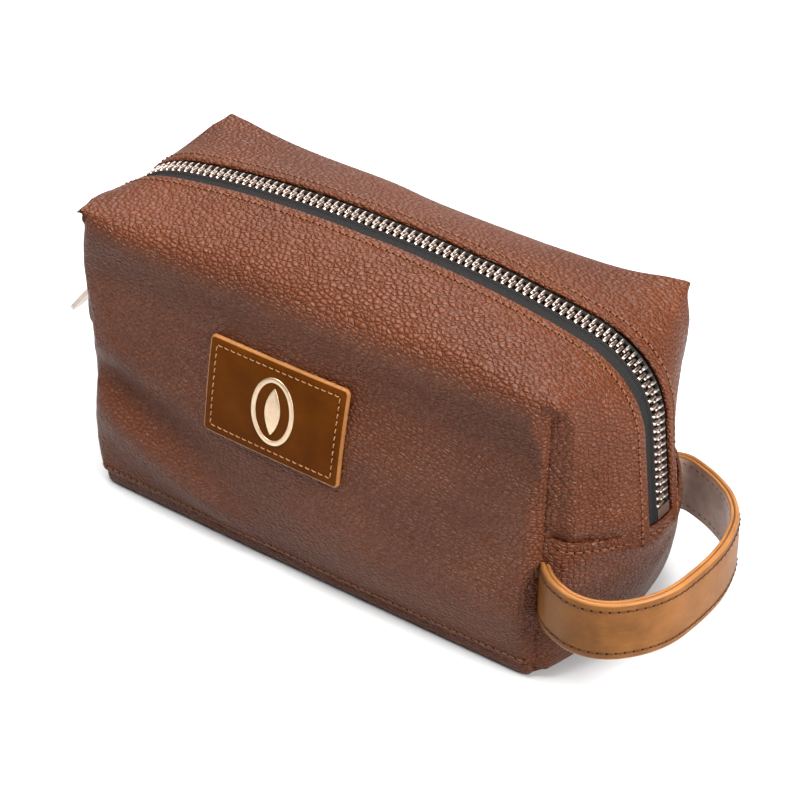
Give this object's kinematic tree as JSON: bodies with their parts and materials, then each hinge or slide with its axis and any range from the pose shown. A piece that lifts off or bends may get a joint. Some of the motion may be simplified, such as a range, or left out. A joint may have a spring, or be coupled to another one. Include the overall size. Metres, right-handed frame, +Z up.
{
  "type": "leather wash bag",
  "caption": "Boxed leather wash bag with a zip over the top and down both ends, a side carrying strap, a sewn badge and a lined, board-stiffened base.",
  "frame": {"origin": "middle of the flat base, on the surface that the bag stands on", "axes": "+Z up, +X along the bag's length towards the carrying strap, front with the badge faces -Y"},
  "size_m": [0.3173, 0.1098, 0.1414],
  "materials": {
    "brown_leather": "pebbled brown cowhide, soft sheen",
    "tan_leather": "smooth vegetable-tanned leather, burnished edges",
    "patch_leather": "smooth oiled leather",
    "suede": "napped flesh side",
    "lining_cloth": "plain cotton twill",
    "stiffener": "fibre board",
    "zip_tape": "woven tape",
    "zip_metal": "pale nickel, polished",
    "emblem_metal": "pale nickel, brushed"
  },
  "bodies": {
    "bag": {"front_leather_panel": "brown_leather", "rear_leather_panel": "brown_leather", "left_end_panel": "brown_leather", "right_end_panel": "brown_leather", "base_leather_panel": "brown_leather", "base_board": "stiffener", "base_lining": "lining_cloth", "front_lining": "lining_cloth", "rear_lining": "lining_cloth", "left_end_lining": "lining_cloth", "right_end_lining": "lining_cloth", "badge_patch": "patch_leather", "badge_emblem": "emblem_metal", "zip_bottom_stop": "zip_metal", "front_top_stop": "zip_metal", "rear_top_stop": "zip_metal"},
    "front_mouth": {"front_zip_tape": "zip_tape", "front_zip_teeth": "zip_metal", "front_mouth_facing": "lining_cloth"},
    "rear_mouth": {"rear_zip_tape": "zip_tape", "rear_zip_teeth": "zip_metal", "rear_mouth_facing": "lining_cloth"},
    "slider": {"zip_slider": "zip_metal", "slider_bail": "zip_metal"},
    "pull": {"pull_tab": "zip_metal"},
    "handle": {"handle_outer_strap": "tan_leather", "handle_inner_strap": "suede"}
  },
  "joints": [
    {"name": "front_mouth_open", "type": "hinge", "parent": "bag", "child": "front_mouth", "pos_m": [0, 0, 0.061], "axis": [-1, 0, 0], "range_deg": [-18, 0], "deforming": ["front_leather_panel"]},
    {"name": "rear_mouth_open", "type": "hinge", "parent": "bag", "child": "rear_mouth", "pos_m": [0, 0, 0.061], "axis": [-1, 0, 0], "range_deg": [0, 18], "deforming": ["rear_leather_panel"]},
    {"name": "slider_travel", "type": "slide", "parent": "bag", "child": "slider", "axis": [0.1213, 0, 0.9926], "range_m": [0, 0.024], "deforming": ["front_zip_teeth", "rear_zip_teeth"]},
    {"name": "pull_tab_swing", "type": "hinge", "parent": "slider", "child": "pull", "pos_m": [-0.13333, 0, 0.07404], "axis": [0, 1, 0], "range_deg": [-25, 135]},
    {"name": "handle_swing", "type": "hinge", "parent": "bag", "child": "handle", "pos_m": [0.112, 0, 0.043], "axis": [0, -1, 0], "range_deg": [-35, 35]}
  ],
  "couplings": [
    {"joint": "rear_mouth_open", "follows": "front_mouth_open", "ratio": -1}
  ]
}
